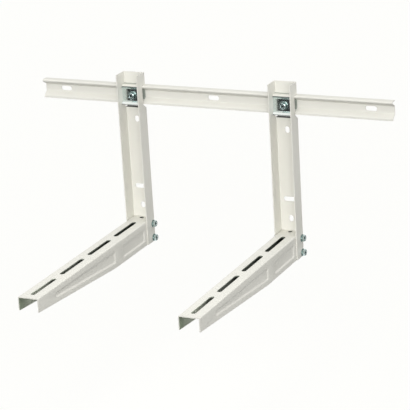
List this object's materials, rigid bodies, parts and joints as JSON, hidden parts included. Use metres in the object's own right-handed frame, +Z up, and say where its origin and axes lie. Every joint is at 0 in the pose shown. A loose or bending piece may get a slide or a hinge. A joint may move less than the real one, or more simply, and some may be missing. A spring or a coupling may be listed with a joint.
{
  "type": "air conditioner outdoor unit bracket",
  "caption": "Wall bracket for an air conditioner outdoor unit: a folded steel wall rail, hooked posts and tapered cantilever arms with slots for the unit's feet.",
  "frame": {"origin": "on the wall plane, at the rail's mid-length and mid-height", "axes": "+X along the rail, +Y into the wall, +Z up; the arms reach out along -Y"},
  "size_m": [0.8, 0.51, 0.376],
  "materials": {
    "powder_coat": "satin powder coat, warm off-white, on folded sheet steel",
    "zinc_plate": "bluish zinc plating on steel"
  },
  "bodies": {
    "root": {"wall_rail": "powder_coat", "left_post": "powder_coat", "left_arm": "powder_coat", "right_post": "powder_coat", "right_arm": "powder_coat", "left_clamp_plate": "zinc_plate", "left_clamp_washer": "zinc_plate", "left_clamp_bolt": "zinc_plate", "left_clamp_nut": "zinc_plate", "left_arm_bolt_upper": "zinc_plate", "left_arm_bolt_lower": "zinc_plate", "left_arm_washer_upper": "zinc_plate", "left_arm_washer_lower": "zinc_plate", "left_arm_nut_upper": "zinc_plate", "left_arm_nut_lower": "zinc_plate", "left_nut_washer_upper": "zinc_plate", "left_nut_washer_lower": "zinc_plate", "right_clamp_plate": "zinc_plate", "right_clamp_washer": "zinc_plate", "right_clamp_bolt": "zinc_plate", "right_clamp_nut": "zinc_plate", "right_arm_bolt_upper": "zinc_plate", "right_arm_bolt_lower": "zinc_plate", "right_arm_washer_upper": "zinc_plate", "right_arm_washer_lower": "zinc_plate", "right_arm_nut_upper": "zinc_plate", "right_arm_nut_lower": "zinc_plate", "right_nut_washer_upper": "zinc_plate", "right_nut_washer_lower": "zinc_plate"}
  },
  "joints": []
}
